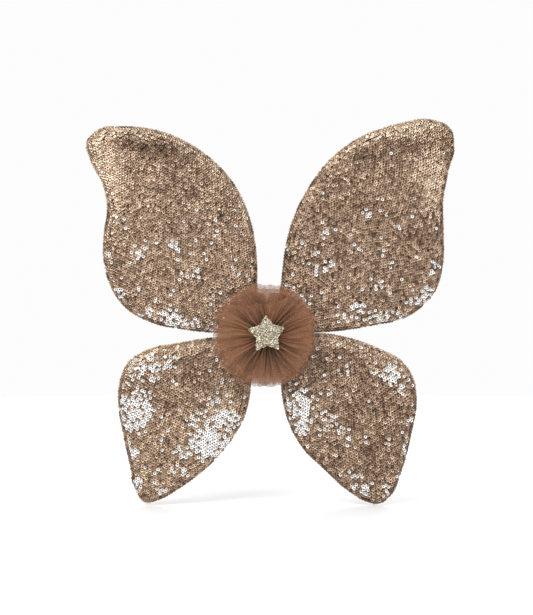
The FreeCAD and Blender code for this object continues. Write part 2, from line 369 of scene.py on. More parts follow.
def wire_material():
    """Drawn steel: fine scratches along the wire and a few dull patches."""
    material, tree, shader = new_material("drawn_steel", (0.55, 0.55, 0.56), 0.35, 1.0)
    vector = object_coordinates(tree)
    scratches = noise_value(tree, vector, 1800.0, 4.0)
    patches = noise_value(tree, vector, 90.0, 3.0)
    stops = [(0.3, (0.40, 0.40, 0.41)), (0.7, (0.66, 0.66, 0.67))]
    paint(tree, shader, patches, stops)
    set_roughness(tree, shader, scratches, 0.22, 0.5)
    add_bump(tree, shader, scratches, 0.3, 0.00005)
    return material


def crimp_material():
    material, tree, shader = new_material("pressed_aluminium", (0.72, 0.72, 0.74), 0.4, 1.0)
    vector = object_coordinates(tree)
    turning = wave_value(tree, vector, "Z", 900.0, 2.0)
    wear = noise_value(tree, vector, 300.0, 4.0)
    stops = [(0.3, (0.52, 0.52, 0.54)), (0.7, (0.80, 0.80, 0.82))]
    paint(tree, shader, wear, stops)
    set_roughness(tree, shader, wear, 0.3, 0.55)
    add_bump(tree, shader, turning, 0.3, 0.00005)
    return material


PICK_SPACING = 0.0009


def elastic_material():
    """Woven elastic: lengthwise ribs are real geometry, the picks across are here."""
    material, tree, shader = new_material("brown_elastic", (0.16, 0.10, 0.065), 0.8, Sheen_Weight=0.05)
    run = attribute_value(tree, "run")
    picks = calculate(tree, "SINE", calculate(tree, "MULTIPLY", run, 2 * math.pi / PICK_SPACING))
    dye = noise_value(tree, object_coordinates(tree), 200.0)
    value = calculate(tree, "MULTIPLY_ADD", picks, 0.22, dye)
    stops = [(0.2, (0.035, 0.021, 0.014)), (0.8, (0.110, 0.068, 0.045))]
    paint(tree, shader, value, stops)
    set_roughness(tree, shader, dye, 0.7, 0.95)
    add_bump(tree, shader, picks, 0.5, 0.0001)
    return material


# --------------------------------------------------------------- mesh helpers

def new_piece(name, verts, faces, material, smooth=False):
    mesh = bpy.data.meshes.new(name)
    mesh.from_pydata([tuple(v) for v in verts], [], [tuple(int(i) for i in f) for f in faces])
    mesh.validate()
    if smooth:
        mesh.shade_smooth()
    mesh.materials.append(material)
    piece = bpy.data.objects.new(name, mesh)
    bpy.context.scene.collection.objects.link(piece)
    return piece


def declare(piece, body, slot, *nodes):
    """The body that a piece rides on, and the CAD nodes that it stands for. The slot argument is not used.
    """
    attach(piece, body)
    if nodes:
        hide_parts(*nodes)


def circle(sides):
    """Cosine and sine of evenly spaced angles."""
    angles = [2 * math.pi * k / sides for k in range(sides)]
    return [(math.cos(angle), math.sin(angle)) for angle in angles]


def quad_grid(rows, columns, ends="open"):
    """Faces of rows of points, each row a ring; the ends are open, capped or joined."""
    faces = []
    for i in range(rows if ends == "joined" else rows - 1):
        here, ahead = i * columns, (i + 1) % rows * columns
        for k in range(columns):
            m = (k + 1) % columns
            faces.append((here + k, here + m, ahead + m, ahead + k))
    if ends == "capped":
        faces.append(tuple(reversed(range(columns))))
        faces.append(tuple(range((rows - 1) * columns, rows * columns)))
    return faces


def set_point_attribute(piece, name, values):
    attribute = piece.data.attributes.new(name, "FLOAT", "POINT")
    attribute.data.foreach_set("value", np.asarray(values, np.float32))


def apply_modifiers(piece):
    """Bakes every modifier into the mesh."""
    depsgraph = bpy.context.evaluated_depsgraph_get()
    mesh = bpy.data.meshes.new_from_object(piece.evaluated_get(depsgraph))
    piece.modifiers.clear()
    piece.data = mesh
    return piece


def push_out(piece, distance, roughness, scale):
    """Moves a surface along its normals, by a distance and some noise."""
    normals = [v.normal.copy() for v in piece.data.vertices]
    for vertex, normal in zip(piece.data.vertices, normals):
        vertex.co += normal * (distance + roughness * noise.noise(vertex.co * scale))


def tube_along(points, radius, sides=6):
    """Vertices and faces of a closed-ended tube through points."""
    points = [Vector(p) for p in points]
    verts = []
    for i, point in enumerate(points):
        ahead = points[min(i + 1, len(points) - 1)]
        behind = points[max(i - 1, 0)]
        heading = (ahead - behind).normalized()
        side = heading.orthogonal().normalized()
        up = heading.cross(side)
        verts.extend(point + (side * c + up * s) * radius for c, s in circle(sides))
    return verts, quad_grid(len(points), sides, "capped")


def merged(parts):
    """One list of vertices and faces from several."""
    verts, faces = [], []
    for more_verts, more_faces in parts:
        base = len(verts)
        verts.extend(more_verts)
        faces.extend(tuple(i + base for i in face) for face in more_faces)
    return verts, faces


# ----------------------------------------------------------------- lobe shape

OUTLINE_STEP = 3.0 * MM
GRID_STEP = 4.0 * MM
FRONT_PUFF = 8.0 * MM
REAR_PUFF = 2.3 * MM
PUFF_REACH = 27.0 * MM
REAR_REACH = 10.0 * MM
LUMP_HEIGHT = 0.5 * MM
SEAM_RADIUS = 0.9 * MM
SEAM_INSET = 0.8 * MM
WADDING_GAP = 0.8 * MM


def lobe_outline(name):
    """The lobe's outline in (x, z), evenly spaced, from its lining's rear face."""
    mesh = NODES[name + "_back_lining"].data
    rear = max(v.co.y for v in mesh.vertices)
    key = {v.index: (round(v.co.x, 6), round(v.co.z, 6)) for v in mesh.vertices}
    count = {}
    for polygon in mesh.polygons:
        if all(mesh.vertices[i].co.y > rear - 1e-5 for i in polygon.vertices):
            corners = [key[i] for i in polygon.vertices]
            for a, b in zip(corners, corners[1:] + corners[:1]):
                edge = (a, b) if a < b else (b, a)
                count[edge] = count.get(edge, 0) + 1
    joined = {}
    for (a, b), uses in count.items():
        if uses == 1:
            joined.setdefault(a, []).append(b)
            joined.setdefault(b, []).append(a)
    start = min(joined)
    loop, before, here = [start], None, start
    while True:
        ahead = [p for p in joined[here] if p != before][0]
        if ahead == start:
            break
        loop.append(ahead)
        before, here = here, ahead
    return even_loop(np.array(loop), OUTLINE_STEP)


def even_loop(points, step):
    """A closed line of points, evenly spaced, anticlockwise seen from -Y."""
    closed = np.vstack([points, points[:1]])
    lengths = np.hypot(*np.diff(closed, axis=0).T)
    along = np.concatenate([[0], np.cumsum(lengths)])
    count = int(round(along[-1] / step))
    places = np.linspace(0, along[-1], count, endpoint=False)
    loop = np.column_stack([np.interp(places, along, closed[:, k]) for k in (0, 1)])
    x, z = loop.T
    area = 0.5 * np.sum(x * np.roll(z, -1) - np.roll(x, -1) * z)
    return loop if area > 0 else loop[::-1]


def line_directions(loop):
    """At each point of a closed line: the unit heading and the unit outward normal."""
    ahead = np.roll(loop, -1, axis=0) - np.roll(loop, 1, axis=0)
    ahead /= np.linalg.norm(ahead, axis=1)[:, None]
    return ahead, np.column_stack([ahead[:, 1], -ahead[:, 0]])


def inside_loop(points, loop):
    """Which points lie inside a closed line, by counting crossings."""
    x, z = points[:, 0][:, None], points[:, 1][:, None]
    x0, z0 = loop[:, 0][None], loop[:, 1][None]
    x1, z1 = np.roll(loop[:, 0], -1)[None], np.roll(loop[:, 1], -1)[None]
    spans = (z0 > z) != (z1 > z)
    with np.errstate(divide="ignore", invalid="ignore"):
        crossing = x0 + (z - z0) * (x1 - x0) / (z1 - z0)
    return (spans & (x < crossing)).sum(axis=1) % 2 == 1


def rim_distance(points, loop):
    """Distance from each point to a closed line, and the line's outward normal there."""
    start, run = loop[None], (np.roll(loop, -1, axis=0) - loop)[None]
    offset = points[:, None] - start
    share = np.clip((offset * run).sum(-1) / (run * run).sum(-1), 0, 1)
    gap = np.linalg.norm(offset - share[..., None] * run, axis=-1)
    nearest = gap.argmin(axis=1)
    run = run[0][nearest]
    outward = np.column_stack([run[:, 1], -run[:, 0]])
    outward /= np.linalg.norm(outward, axis=1)[:, None]
    return gap[np.arange(len(points)), nearest], outward


def hex_grid(loop, step, row_step=None):
    """Staggered rows of points over the loop's box."""
    row_step = row_step or step * math.sqrt(3) / 2
    low, high = loop.min(axis=0), loop.max(axis=0)
    points = []
    for row, z in enumerate(np.arange(low[1], high[1], row_step)):
        shift = step / 2 if row % 2 else 0
        points.extend((x + shift, z) for x in np.arange(low[0], high[0], step))
    return np.array(points)


def puff(distance, height, reach):
    """Height of the padding at a distance from the seam: steep, then flat."""
    share = np.clip(distance / reach, 0, 1)
    return height * np.sqrt(1 - (1 - share) ** 2)


def noise_over(points, scale, layer):
    """Smooth noise at each (x, z), from one layer of the noise field."""
    return np.array([noise.noise(Vector((x * scale, layer, z * scale))) for x, z in points])


def seam_depth():
    low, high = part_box("left_wire_frame")
    return (low.y + high.y) / 2


def build_pillow(loop):
    """Closed pillow: (vertices, front faces, rear faces, rim vertex indices)."""
    grid = hex_grid(loop, GRID_STEP)
    grid = grid[inside_loop(grid, loop)]
    distance, _ = rim_distance(grid, loop)
    grid = grid[distance > GRID_STEP * 0.6]
    plan = [Vector(p) for p in np.vstack([loop, grid])]
    count = len(loop)
    edges = [(i, (i + 1) % count) for i in range(count)]
    flat, _, faces, _, _, _ = delaunay_2d_cdt(plan, edges, [], 1, 1e-7)
    flat = np.array([tuple(v) for v in flat])
    distance, _ = rim_distance(flat, loop)
    rim = distance < 1e-6
    lumps = noise_over(flat, 28, 7.0)
    seam = seam_depth()
    soft = np.clip(distance / PUFF_REACH, 0, 1)
    front = seam - puff(distance, FRONT_PUFF, PUFF_REACH) - lumps * LUMP_HEIGHT * soft
    rear = seam + puff(distance, REAR_PUFF, REAR_REACH) - 0.4 * lumps * LUMP_HEIGHT * soft
    verts = [Vector((x, y, z)) for (x, z), y in zip(flat, front)]
    twin = {}
    for i, ((x, z), y) in enumerate(zip(flat, rear)):
        if rim[i]:
            twin[i] = i
        else:
            twin[i] = len(verts)
            verts.append(Vector((x, y, z)))
    front_faces, rear_faces = [], []
    for face in faces:
        a, b, c = (flat[i] for i in face[:3])
        turn = (b[0] - a[0]) * (c[1] - a[1]) - (b[1] - a[1]) * (c[0] - a[0])
        face = tuple(face) if turn > 0 else tuple(reversed(face))
        front_faces.append(face)
        rear_faces.append(tuple(twin[i] for i in reversed(face)))
    return verts, front_faces, rear_faces, [i for i in range(len(flat)) if rim[i]]


CLOTH_FRAMES = 20
CLOTH_PRESSURE = 3.0
CLOTH_LIMIT = 2.0 * MM
CLOTH_SMOOTHING = 5


def inflate(name, verts, faces, rim, front_count):
    """Cloth simulation with air pressure and a fixed seam; moves are capped."""
    piece = new_piece(name + "_simulation", verts, faces, bpy.data.materials[0])
    group = piece.vertex_groups.new(name="seam")
    group.add(rim, 1.0, "REPLACE")
    cloth = piece.modifiers.new("cloth", "CLOTH")
    settings = cloth.settings
    settings.quality = 6
    settings.mass = 0.15
    settings.tension_stiffness = 20
    settings.compression_stiffness = 20
    settings.shear_stiffness = 8
    settings.bending_stiffness = 0.4
    settings.vertex_group_mass = "seam"
    settings.use_pressure = True
    settings.uniform_pressure_force = CLOTH_PRESSURE
    settings.shrink_min = -0.03
    settings.effector_weights.gravity = 0
    cloth.point_cache.frame_start = 1
    cloth.point_cache.frame_end = CLOTH_FRAMES
    scene = bpy.context.scene
    for step in range(1, CLOTH_FRAMES + 1):
        scene.frame_set(step)
    depsgraph = bpy.context.evaluated_depsgraph_get()
    moved = [v.co.copy() for v in piece.evaluated_get(depsgraph).data.vertices]
    bpy.data.objects.remove(piece)
    scene.frame_set(1)
    steps = np.array(moved) - np.array(verts)
    length = np.maximum(np.linalg.norm(steps, axis=1), 1e-9)[:, None]
    steps *= np.minimum(1, CLOTH_LIMIT / length)
    edges = np.array([(a, b) for face in faces for a, b in zip(face, face[1:] + face[:1])])
    uses = np.maximum(np.bincount(edges.ravel(), minlength=len(verts)), 1)[:, None]
    fixed = np.zeros(len(verts), bool)
    fixed[rim] = True
    creased = steps
    for turn in range(CLOTH_SMOOTHING):
        total = np.zeros_like(steps)
        np.add.at(total, edges[:, 0], steps[edges[:, 1]])
        np.add.at(total, edges[:, 1], steps[edges[:, 0]])
        steps = np.where(fixed[:, None], 0, total / uses)
        creased = steps if turn == 0 else creased
    steps[front_count:] = creased[front_count:]
    return [before + Vector(step) for before, step in zip(verts, steps)]


# -------------------------------------------------------------------- sequins

SEQUIN_RADIUS = 1.8 * MM
SEQUIN_HOLE = 0.62 * MM
SEQUIN_FLAT = 1.2 * MM
SEQUIN_CUP = 0.28 * MM
SEQUIN_SIDES = 10
SEQUIN_STEP = 3.3 * MM
SEQUIN_ROW = 2.6 * MM
SEQUIN_JITTER = 0.42 * MM
SEQUIN_LIFT = 0.5 * MM
# Extra lift, and the tone above which a sequin counts as a painted highlight.
PAINTED_HIGHLIGHT_LIFT = 0.35 * MM
PAINTED_HIGHLIGHT_TONE = 0.8
ROW_TURN = {"upper_left": 33, "upper_right": -38, "lower_left": 24, "lower_right": -28}
RIM_STEP = 3.3 * MM
RIM_INSETS = (0.9, 1.6, 3.3, 5.5)
FIELD_START = 6.6 * MM

# Patches of sequins that catch the light, in mm: x, z, half width, half height and the share of sequins that
# do.
# These are painted highlights: the sequins there get a near-white tone.
PAINTED_HIGHLIGHTS = {
    "upper_left": [
        (-128, 24, 14, 5, 0.6), (-105, 23, 11, 7, 0.8), (-97, 14, 15, 5, 0.7), (-61, 9, 9, 6, 0.7),
        (-80, 14, 9, 7, 0.35), (-63, 40, 6, 3, 0.5), (-160, 44, 5, 9, 0.5), (-172, 74, 4, 13, 0.4),
        (-139, 90, 8, 6, 0.35), (-100, 96, 6, 7, 0.3), (-72, 66, 10, 6, 0.2), (-30, 34, 16, 10, 0.22),
    ],
    "upper_right": [
        (100, 31, 8, 5, 0.55), (90, 19, 11, 6, 0.5), (122, 22, 13, 7, 0.7), (147, 21, 14, 4, 0.6),
        (171, 46, 8, 7, 0.85), (163, 36, 13, 5, 0.7), (182, 76, 5, 9, 0.65), (105, 14, 16, 4, 0.45),
        (52, 80, 8, 12, 0.35), (66, 75, 4, 5, 0.6), (120, 52, 12, 5, 0.35), (107, 133, 4, 4, 0.9),
        (70, 115, 9, 4, 0.3), (36, 34, 16, 12, 0.15), (44, 6, 8, 4, 0.4),
    ],
    "lower_left": [
        (-128, -31, 22, 9, 0.5), (-110, -32, 8, 7, 0.6), (-122, -45, 5, 5, 0.7),
        (-142, -46, 6, 4, 0.6), (-152, -68, 8, 8, 0.5), (-142, -84, 16, 19, 0.95),
        (-152, -102, 6, 9, 0.55), (-145, -124, 6, 9, 0.6), (-141, -163, 6, 9, 0.7),
        (-48, -68, 15, 9, 0.28), (-45, -89, 15, 11, 0.85), (-72, -92, 12, 10, 0.5),
        (-63, -116, 18, 16, 1.1), (-88, -126, 12, 10, 0.5), (-46, -106, 8, 9, 0.6),
        (-97, -146, 9, 8, 0.4), (-114, -167, 6, 4, 0.5), (-44, -20, 12, 12, 0.2),
    ],
    "lower_right": [
        (36, -76, 10, 18, 0.95), (37, -97, 8, 10, 0.9), (50, -83, 10, 8, 0.35),
        (30, -54, 10, 7, 0.3), (70, -95, 14, 9, 0.28), (90, -115, 6, 5, 0.6),
        (133, -41, 10, 10, 0.8), (116, -37, 5, 6, 0.4), (145, -58, 4, 5, 0.6),
        (155, -80, 4, 16, 0.3), (143, -104, 6, 4, 0.5), (150, -118, 4, 12, 0.6),
        (142, -148, 6, 7, 0.5), (93, -150, 9, 4, 0.5), (102, -166, 14, 7, 0.45),
        (131, -164, 6, 7, 0.55), (21, -74, 4, 20, 0.3),
    ],
}
# Softer patches of painted light and shade, in mm: x, z, half width, half height and the change of tone.
PAINTED_LIGHT_AND_SHADE = {
    "upper_left": [
        (-180, 188, 24, 36, 0.30), (-165, 140, 12, 34, 0.15), (-152, 207, 32, 6, -0.16),
        (-120, 203, 26, 8, -0.15), (-180, 214, 14, 5, -0.12), (-90, 195, 30, 10, -0.05),
    ],
    "upper_right": [
        (178, 165, 18, 34, 0.26), (150, 222, 48, 12, 0.20), (140, 190, 60, 35, 0.08),
        (148, 207, 34, 9, -0.12), (108, 196, 26, 9, -0.13), (193, 213, 9, 18, -0.10),
        (125, 185, 40, 12, -0.06),
    ],
    "lower_left": [(-75, -40, 14, 18, -0.12), (-110, -62, 45, 14, -0.05), (-45, -40, 15, 20, -0.05)],
    "lower_right": [(60, -25, 20, 20, -0.08), (115, -75, 40, 30, -0.05), (110, -122, 8, 12, -0.14)],
}
BASE_TONES = {"upper_left": 0.385, "upper_right": 0.345, "lower_left": 0.40, "lower_right": 0.345}
TONE_SPREAD = 0.105
PLAIN_LIMIT = 0.68
LIGHT_SHARE = 0.09
LIGHT_STEP = 0.20
# Width and strength of the painted light along edges that face up.
PAINTED_TOP_LIGHT_BAND = 15.0 * MM
PAINTED_TOP_LIGHT_TONE = 0.28
# Share of stray sequins that get a painted highlight.
STRAY_PAINTED_HIGHLIGHT = 0.018
DARK_SHARE = 0.05
DARK_STEP = 0.15
# Above this height hardly any stray sequin gets a painted highlight.
CROWN_HEIGHT = 140 * MM
CROWN_PAINTED_HIGHLIGHT = 0.002
SWIRL = 9 * MM
SEQUIN_LEAN = 0.14
RIM_LEAN = 0.07


def patch_weight(points, patch):
    x, z, half_x, half_z = (value * MM for value in patch[:4])
    away = ((points[:, 0] - x) / half_x) ** 2 + ((points[:, 1] - z) / half_z) ** 2
    return np.exp(-away ** 1.5)


def sequin_tones(name, points, distance, outward, rng):
    """Tone of each sequin, from its place on the lobe: random tone, with painted light along edges that face
    up, painted light and shade patches and near-white painted highlights.
    """
    tones = BASE_TONES[name] + TONE_SPREAD * rng.standard_normal(len(points))
    cloud = noise_over(points, 60, 3.0)
    clump = noise_over(points, 170, 9.0)
    tones += 0.06 * cloud + 0.06 * clump
    # Painted light: sequins lighter near edges that face up.
    band = np.clip(1 - distance / PAINTED_TOP_LIGHT_BAND, 0, 1) ** 0.6
    tones += PAINTED_TOP_LIGHT_TONE * band * np.clip(outward[:, 1], 0, 1)
    # Painted light and shade patches.
    for patch in PAINTED_LIGHT_AND_SHADE[name]:
        tones += patch[4] * patch_weight(points, patch) * (1 + 0.8 * clump)
    # Chance of a painted highlight: a few stray ones, fewer up high, many in the highlight patches.
    chance = np.full(len(points), STRAY_PAINTED_HIGHLIGHT)
    chance[points[:, 1] > CROWN_HEIGHT] = CROWN_PAINTED_HIGHLIGHT
    for patch in PAINTED_HIGHLIGHTS[name]:
        chance = np.maximum(chance, 0.8 * patch[4] * np.clip(1.6 * patch_weight(points, patch), 0, 1))
    tones[rng.random(len(points)) < LIGHT_SHARE] += LIGHT_STEP
    tones = np.minimum(tones, PLAIN_LIMIT)
    # Painted highlights: these sequins get a near-white tone.
    painted_highlight = rng.random(len(points)) < chance
    tones[painted_highlight] = 0.88 + 0.1 * rng.random(painted_highlight.sum())
    dark = rng.random(len(points)) < DARK_SHARE
    tones[dark & ~painted_highlight] -= DARK_STEP
    return np.clip(tones, 0.02, 1)


def sequin_ring():
    """One cup sequin about the origin, facing +Z: rings of points and its faces."""
    rings = [(SEQUIN_HOLE, 0), (SEQUIN_FLAT, 0), (SEQUIN_RADIUS, SEQUIN_CUP)]
    points = [(radius * c, radius * s, height) for radius, height in rings for c, s in circle(SEQUIN_SIDES)]
    faces = [(a, d, c, b) for a, b, c, d in quad_grid(len(rings), SEQUIN_SIDES)]
    return np.array(points), np.array(faces)


def paint_cup_shading(count, rng):
    """Painted light and shade for each cup: darker at the hole and upper rim, lighter below, as if lit from
    above.
    """
    turns = 2 * math.pi * np.arange(SEQUIN_SIDES) / SEQUIN_SIDES
    way_up = np.sin(turns[None] + 0.6 * rng.standard_normal((count, 1)))
    outer = -0.35 - 0.65 * way_up
    middle = 0.15 - 0.20 * way_up
    hole = np.full_like(outer, -0.95)
    return np.stack([hole, middle, outer], axis=1)


def facing(normals, rng, spread=2 * math.pi):
    """Rotation matrices that turn +Z to each normal, with a random spin."""
    normals = normals / np.linalg.norm(normals, axis=1)[:, None]
    spin = (rng.random(len(normals)) - 0.5) * spread
    helper = np.tile([0.0, 0.0, 1.0], (len(normals), 1))
    helper[np.abs(normals[:, 2]) > 0.9] = (1.0, 0.0, 0.0)
    side = np.cross(helper, normals)
    side /= np.linalg.norm(side, axis=1)[:, None]
    up = np.cross(normals, side)
    across = side * np.cos(spin)[:, None] + up * np.sin(spin)[:, None]
    return np.stack([across, np.cross(normals, across), normals], axis=2)


def place_sequins(name, centres, normals, tones, rng, material):
    ring, ring_faces = sequin_ring()
    turns = facing(normals, rng, 0.3)
    verts = np.einsum("nij,kj->nki", turns, ring) + centres[:, None]
    starts = (np.arange(len(centres)) * len(ring))[:, None, None]
    faces = (ring_faces[None] + starts).reshape(-1, 4)
    piece = new_piece(name + "_sequins", verts.reshape(-1, 3), faces, material)
    set_point_attribute(piece, "tone", np.repeat(tones, len(ring)))
    # Painted shade and highlight on each cup, one value per vertex.
    set_point_attribute(piece, "painted_cup_shading", paint_cup_shading(len(centres), rng).reshape(-1))
    return piece


def field_sequins(name, loop, surface, rng):
    """Rows of sequins over the puffed front: centres, normals and tones."""
    turn = math.radians(ROW_TURN[name])
    rows = np.array([[math.cos(turn), -math.sin(turn)], [math.sin(turn), math.cos(turn)]])
    grid = hex_grid(loop @ rows, SEQUIN_STEP, SEQUIN_ROW) @ rows.T
    swirl = np.column_stack([noise_over(grid, 14, 1.0), noise_over(grid, 14, 5.0)])
    grid = grid + SWIRL * swirl + SEQUIN_JITTER * rng.uniform(-1, 1, grid.shape)
    grid = grid[inside_loop(grid, loop)]
    distance, outward = rim_distance(grid, loop)
    keep = distance > FIELD_START
    grid, distance, outward = grid[keep], distance[keep], outward[keep]
    tones = sequin_tones(name, grid, distance, outward, rng)
    centres, normals, kept = [], [], []
    for i, (x, z) in enumerate(grid):
        place, normal, _, _ = surface.ray_cast(Vector((x, -0.1, z)), Vector((0, 1, 0)))
        if place is not None:
            lift = SEQUIN_LIFT + (PAINTED_HIGHLIGHT_LIFT if tones[i] > PAINTED_HIGHLIGHT_TONE else 0)
            centres.append(place + normal * lift)
            normals.append(normal)
            kept.append(i)
    normals = np.array(normals)
    lean = SEQUIN_LEAN * rng.standard_normal((len(normals), 3)) + np.array([0.04, 0.0, 0.10])
    return np.array(centres), normals + lean, tones[kept]


def rim_sequins(name, loop, surface, rng):
    """Rows that follow the edge and wrap round it."""
    rim = even_loop(loop, RIM_STEP)
    _, outward = line_directions(rim)
    seam = seam_depth()
    centres, normals, plan, insets, facing_out = [], [], [], [], []
    for row, inset in enumerate(RIM_INSETS):
        for (x, z), (nx, nz) in zip(rim, outward):
            if row == 0 and abs(x) < 22 * MM and abs(z) < 30 * MM:
                continue
            x, z = x + (row % 2) * nz * RIM_STEP / 2, z - (row % 2) * nx * RIM_STEP / 2
            x, z = x - nx * inset * MM, z - nz * inset * MM
            side_on = Vector((nx, -0.8, nz)).normalized()
            place, normal = Vector((x, seam - 1.5 * MM, z)), side_on
            if row:
                hit, slope, _, _ = surface.ray_cast(Vector((x, -0.1, z)), Vector((0, 1, 0)))
                if hit is None:
                    continue
                place, normal = hit, slope
            centres.append(place + normal * SEQUIN_LIFT)
            normals.append(normal)
            plan.append((x, z))
            insets.append(inset * MM)
            facing_out.append((nx, nz))
    plan, insets, facing_out = np.array(plan), np.array(insets), np.array(facing_out)
    tones = sequin_tones(name, plan, insets, facing_out, rng)
    patchy = np.array([noise.noise(Vector((x * 130, y * 300, z * 130))) for (x, z), y in zip(plan, insets)])
    # Painted shade: patches of the two outer rim rows turn dark brown, fewer where the edge faces up.
    outer = insets < 2 * MM
    dark = outer & (patchy > 0.10 + 0.35 * np.clip(facing_out[:, 1], 0, 1))
    tones[dark] = 0.13 + 0.10 * rng.random(dark.sum())
    normals = np.array(normals) + RIM_LEAN * rng.standard_normal((len(normals), 3))
    return np.array(centres), normals, tones


# ---------------------------------------------------------------------- lobes

def seam_edge(loop, seam):
    """The turned seam: a thin roll of lining all round the lobe."""
    verts = []
    sides = 6
    _, outward = line_directions(loop)
    for (x, z), (nx, nz) in zip(loop, outward):
        swell = SEAM_RADIUS * (1 + 0.18 * noise.noise(Vector((x * 160, 2, z * 160))))
        for c, s in circle(sides):
            out = swell * c - SEAM_INSET
            verts.append(Vector((x + nx * out, seam + 0.8 * swell * s, z + nz * out)))
    faces = [(a, d, c, b) for a, b, c, d in quad_grid(len(loop), sides, "joined")]
    return verts, faces


def seam_stitches(name, loop, surface, material):
    """Top stitching on the rear, 5 mm in from the seam."""
    step = 3.2 * MM
    inset = 5.0 * MM
    line = even_loop(loop, step)
    ahead, _ = line_directions(line)
    parts = []
    for (x, z), (tx, tz) in zip(line, ahead):
        x, z = x - tz * inset, z + tx * inset
        place, normal, _, _ = surface.ray_cast(Vector((x, 0.1, z)), Vector((0, -1, 0)))
        if place is None:
            continue
        run = Vector((tx, 0, tz))
        ends = [
            place + run * share * step * 0.36 + normal * height
            for share, height in ((-1, -0.1 * MM), (0, 0.2 * MM), (1, -0.1 * MM))
        ]
        parts.append(tube_along(ends, 0.3 * MM, 5))
    return new_piece(name + "_seam_stitches", *merged(parts), material, smooth=True)


def compacted(verts, faces):
    """Only the vertices that the faces use."""
    used = sorted({i for face in faces for i in face})
    place = {old: new for new, old in enumerate(used)}
    return [verts[i] for i in used], [tuple(place[i] for i in face) for face in faces]


def build_lobe(name, materials, seed):
    body = name.split("_")[1] + "_wing"
    loop = lobe_outline(name)
    verts, front, rear, rim = build_pillow(loop)
    verts = inflate(name, verts, front + rear, rim, 1 + max(i for face in front for i in face))

    cover = new_piece(name + "_cover_fabric", *compacted(verts, front), materials["ground"], smooth=True)
    declare(cover, body, "sequin_fabric", name + "_sequin_cover")

    lining_parts = merged([compacted(verts, rear), seam_edge(loop, seam_depth())])
    lining = new_piece(name + "_lining_fabric", *lining_parts, materials["lining"], smooth=True)
    declare(lining, body, "lining_fabric", name + "_back_lining")

    pad = new_piece(name + "_wadding_pad", verts, front + rear, materials["wadding"], smooth=True)
    push_out(pad, -WADDING_GAP, -0.4 * WADDING_GAP, 300)
    declare(pad, body, "wadding", name + "_wadding")

    rng = np.random.default_rng(seed)
    surface = BVHTree.FromPolygons(verts, front)
    field = field_sequins(name, loop, surface, rng)
    edge = rim_sequins(name, loop, surface, rng)
    centres, normals, tones = (np.concatenate(pair) for pair in zip(field, edge))
    sequins = place_sequins(name, centres, normals, tones, rng, materials["sequin"])
    declare(sequins, body, "sequin_fabric")

    rear_surface = BVHTree.FromPolygons(verts, rear)
    declare(seam_stitches(name, loop, rear_surface, materials["thread"]), body, "brown_thread")


# -------------------------------------------------------------------- rosette

EYE_RADIUS = 5.0 * MM
DISH_SLOPE = 0.095
FOLDS = {"rear": 17, "middle": 21, "front": 19}
TULLE_RINGS = 30
TULLE_STEPS = 840
# Deep folds: direction in degrees anticlockwise from +X, strength and half width.
DEEP_FOLDS = [
    (-28, 1.0, 4), (-8, 0.4, 3), (18, 0.5, 3), (48, 0.8, 4), (66, 0.5, 3), (88, 0.35, 5),
    (108, 0.9, 4), (124, 0.4, 3), (140, 0.9, 4), (162, 0.5, 3), (178, 0.45, 3), (190, 0.8, 4),
    (207, 0.5, 3), (225, 0.9, 4), (244, 0.4, 4), (265, 0.9, 4), (277, 0.5, 3), (288, 1.0, 4),
    (305, 0.5, 3), (318, 0.45, 3),
]
# Rim radius of each layer in mm, at every 30 degrees from +X.
RIM_RADII = {
    "rear": (52.0, 55.0, 55.5, 55.0, 58.0, 59.0, 57.5, 58.0, 56.5, 54.5, 54.0, 53.5),
    "middle": (50.0, 53.0, 53.5, 51.0, 55.0, 54.0, 54.0, 55.0, 53.5, 52.0, 52.5, 48.5),
    "front": (48.0, 51.0, 47.0, 34.0, 38.0, 54.0, 52.0, 51.0, 49.0, 51.0, 48.0, 50.0),
}
# Half the depth of the fine pleats at the eye. They take up the cloth that the rim has.
FINE_PLEAT = 1.4 * MM


def rim_radius(layer, angle):
    radii = RIM_RADII[layer]
    place = (math.degrees(angle) % 360) / 30
    first = int(place) % 12
    share = place - int(place)
    share = share * share * (3 - 2 * share)
    return (radii[first] * (1 - share) + radii[(first + 1) % 12] * share) * MM


def fold_depth(angle, share):
    """0 on the open net, 1 at the bottom of a deep fold."""
    total = 0
    degrees = math.degrees(angle)
    for direction, strength, width in DEEP_FOLDS:
        away = (degrees - direction + 180) % 360 - 180
        total += strength * math.exp(-(away / (width * (1.25 - 0.5 * share))) ** 2)
    return min(1, total) * max(0, 1 - share) ** 0.38


